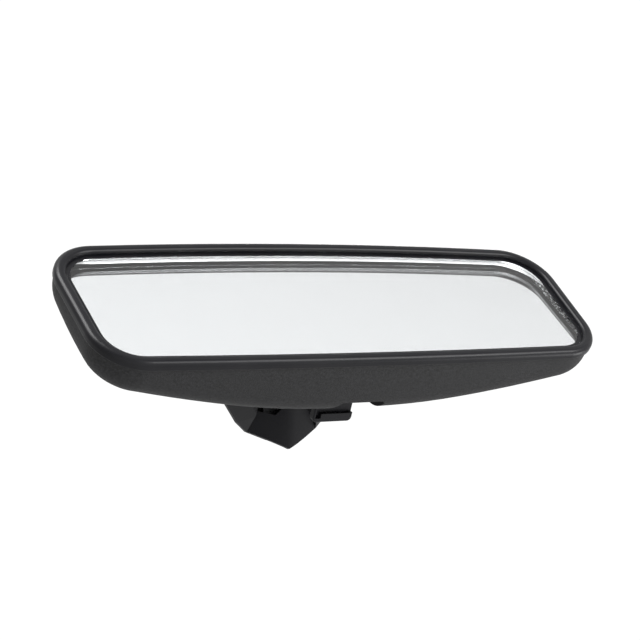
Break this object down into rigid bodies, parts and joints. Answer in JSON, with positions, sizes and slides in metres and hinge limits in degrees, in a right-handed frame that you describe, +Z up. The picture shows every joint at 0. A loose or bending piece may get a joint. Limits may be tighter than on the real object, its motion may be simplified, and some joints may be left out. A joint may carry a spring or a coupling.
{
  "type": "interior rearview mirror",
  "caption": "Windscreen-mounted cabin rearview mirror: prismatic glass in a rimmed bulged case on a ball joint, with a day and night dipping lever and a bonded wedge foot.",
  "frame": {"origin": "centre of the bonding face of the adhesive pad, where the foot meets the windscreen", "axes": "+Z up as fitted in the car, +Y forward towards the windscreen, +X to the right as the driver looks at the glass; the glass faces -Y at rest and the windscreen is raked 45 degrees"},
  "size_m": [0.2356, 0.0776, 0.075],
  "materials": {
    "adhesive": "clear grey structural adhesive film",
    "button_steel": "sintered steel, dull grey",
    "screw_steel": "zinc plated steel",
    "mount_dark": "die-cast zinc, satin black powder coat",
    "cover_plastic": "satin black moulded plastic",
    "stud_steel": "hardened steel, dark phosphate",
    "nylon": "natural nylon",
    "spring_steel": "spring steel",
    "bracket_plastic": "glass filled nylon, black",
    "clamp_metal": "die-cast aluminium",
    "case_plastic": "fine grained charcoal ABS",
    "rim_vinyl": "soft vinyl, semi-gloss black",
    "mirror_glass": "clear polished prismatic glass",
    "silvering": "silvered coating",
    "foam": "closed cell foam, black",
    "frame_steel": "pressed steel, dark zinc finish",
    "pin_steel": "ground steel",
    "lever_plastic": "smooth black acetal"
  },
  "bodies": {
    "windscreen_mount": {"adhesive_pad": "adhesive", "windscreen_button": "button_steel", "foot_set_screw": "screw_steel", "mount_foot": "mount_dark", "foot_cover": "cover_plastic", "ball_stud": "stud_steel"},
    "ball_liner": {"socket_liner": "nylon"},
    "ball_washer": {"socket_washer": "spring_steel"},
    "toggle": {"toggle_bracket": "bracket_plastic", "socket_clamp_ring": "clamp_metal", "clamp_screws": "screw_steel"},
    "head": {"mirror_housing": "case_plastic", "bezel_rim": "rim_vinyl", "prismatic_glass": "mirror_glass", "reflective_coating": "silvering", "glass_foam_pad": "foam", "pivot_frame": "frame_steel", "frame_screws": "screw_steel", "upper_pivot_pin": "pin_steel", "upper_pin_clips": "spring_steel", "lever_pivot_pin": "pin_steel", "lever_pin_clips": "spring_steel", "detent_spring": "spring_steel"},
    "lever": {"dip_lever": "lever_plastic", "cam_pin": "pin_steel"}
  },
  "joints": [
    {"name": "head_yaw", "type": "hinge", "parent": "windscreen_mount", "child": "ball_liner", "pos_m": [0, -0.03956, -0.01656], "axis": [0, 0, 1], "range_deg": [-18, 18]},
    {"name": "head_pitch", "type": "hinge", "parent": "ball_liner", "child": "ball_washer", "pos_m": [0, -0.03956, -0.01656], "axis": [1, 0, 0], "range_deg": [-12, 12]},
    {"name": "head_roll", "type": "hinge", "parent": "ball_washer", "child": "toggle", "pos_m": [0, -0.03956, -0.01656], "axis": [0, 1, 0], "range_deg": [-8, 8]},
    {"name": "case_tilt", "type": "hinge", "parent": "toggle", "child": "head", "pos_m": [0, -0.04656, 0.00344], "axis": [1, 0, 0], "range_deg": [-4.55, 0]},
    {"name": "lever_flip", "type": "hinge", "parent": "head", "child": "lever", "pos_m": [0, -0.03756, -0.03656], "axis": [1, 0, 0], "range_deg": [-45.01, 0]}
  ],
  "couplings": [
    {"joint": "lever_flip", "follows": "case_tilt", "ratio": 9.8901}
  ]
}
